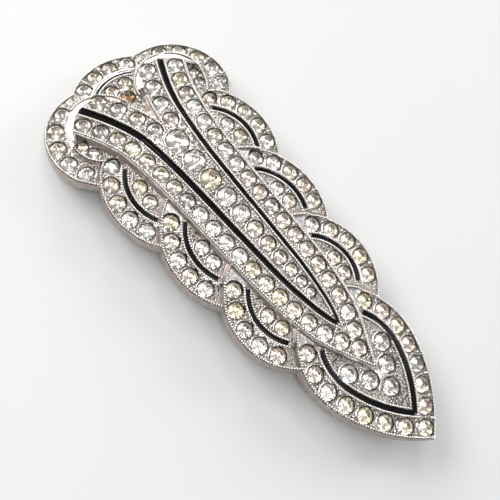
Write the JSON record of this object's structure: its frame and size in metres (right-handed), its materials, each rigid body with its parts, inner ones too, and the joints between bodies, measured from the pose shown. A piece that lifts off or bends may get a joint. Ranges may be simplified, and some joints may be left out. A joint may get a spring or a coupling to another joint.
{
  "type": "dress clip",
  "caption": "Pointed dress clip: a cast plate of overlapping round lobes under long curved leaves, paved with cut stones, lined with black enamel, with a spring clip behind it.",
  "frame": {"origin": "middle of the bounding box's bottom: the clip lies face up on the free leg of its back clip", "axes": "+X across the clip to its right side, +Y from the pointed tip to the crown, +Z out of its face"},
  "size_m": [0.0262, 0.0628, 0.0065],
  "materials": {
    "plated_metal": "cast and plated, lightly worn",
    "black_enamel": "glossy, slightly pitted",
    "clear_paste": "cut, foil-backed",
    "spring_metal": "plated spring metal"
  },
  "bodies": {
    "root": {"plate": "plated_metal", "enamel_leaf_left": "black_enamel", "enamel_leaf_right": "black_enamel", "enamel_side_1_left": "black_enamel", "enamel_side_1_right": "black_enamel", "enamel_side_2_left": "black_enamel", "enamel_side_2_right": "black_enamel", "enamel_side_3_left": "black_enamel", "enamel_side_3_right": "black_enamel", "enamel_tip": "black_enamel", "enamel_crown": "black_enamel", "centre_stone_1": "clear_paste", "centre_stone_2": "clear_paste", "centre_stone_3": "clear_paste", "centre_stone_4": "clear_paste", "centre_stone_5": "clear_paste", "centre_stone_6": "clear_paste", "centre_stone_7": "clear_paste", "centre_stone_8": "clear_paste", "centre_stone_9": "clear_paste", "centre_stone_10": "clear_paste", "centre_stone_11": "clear_paste", "leaf_stones_left": "clear_paste", "leaf_stones_right": "clear_paste", "side_stones_left": "clear_paste", "side_stones_right": "clear_paste", "crown_stones": "clear_paste", "tip_stones": "clear_paste", "back_clip": "spring_metal"}
  },
  "joints": []
}
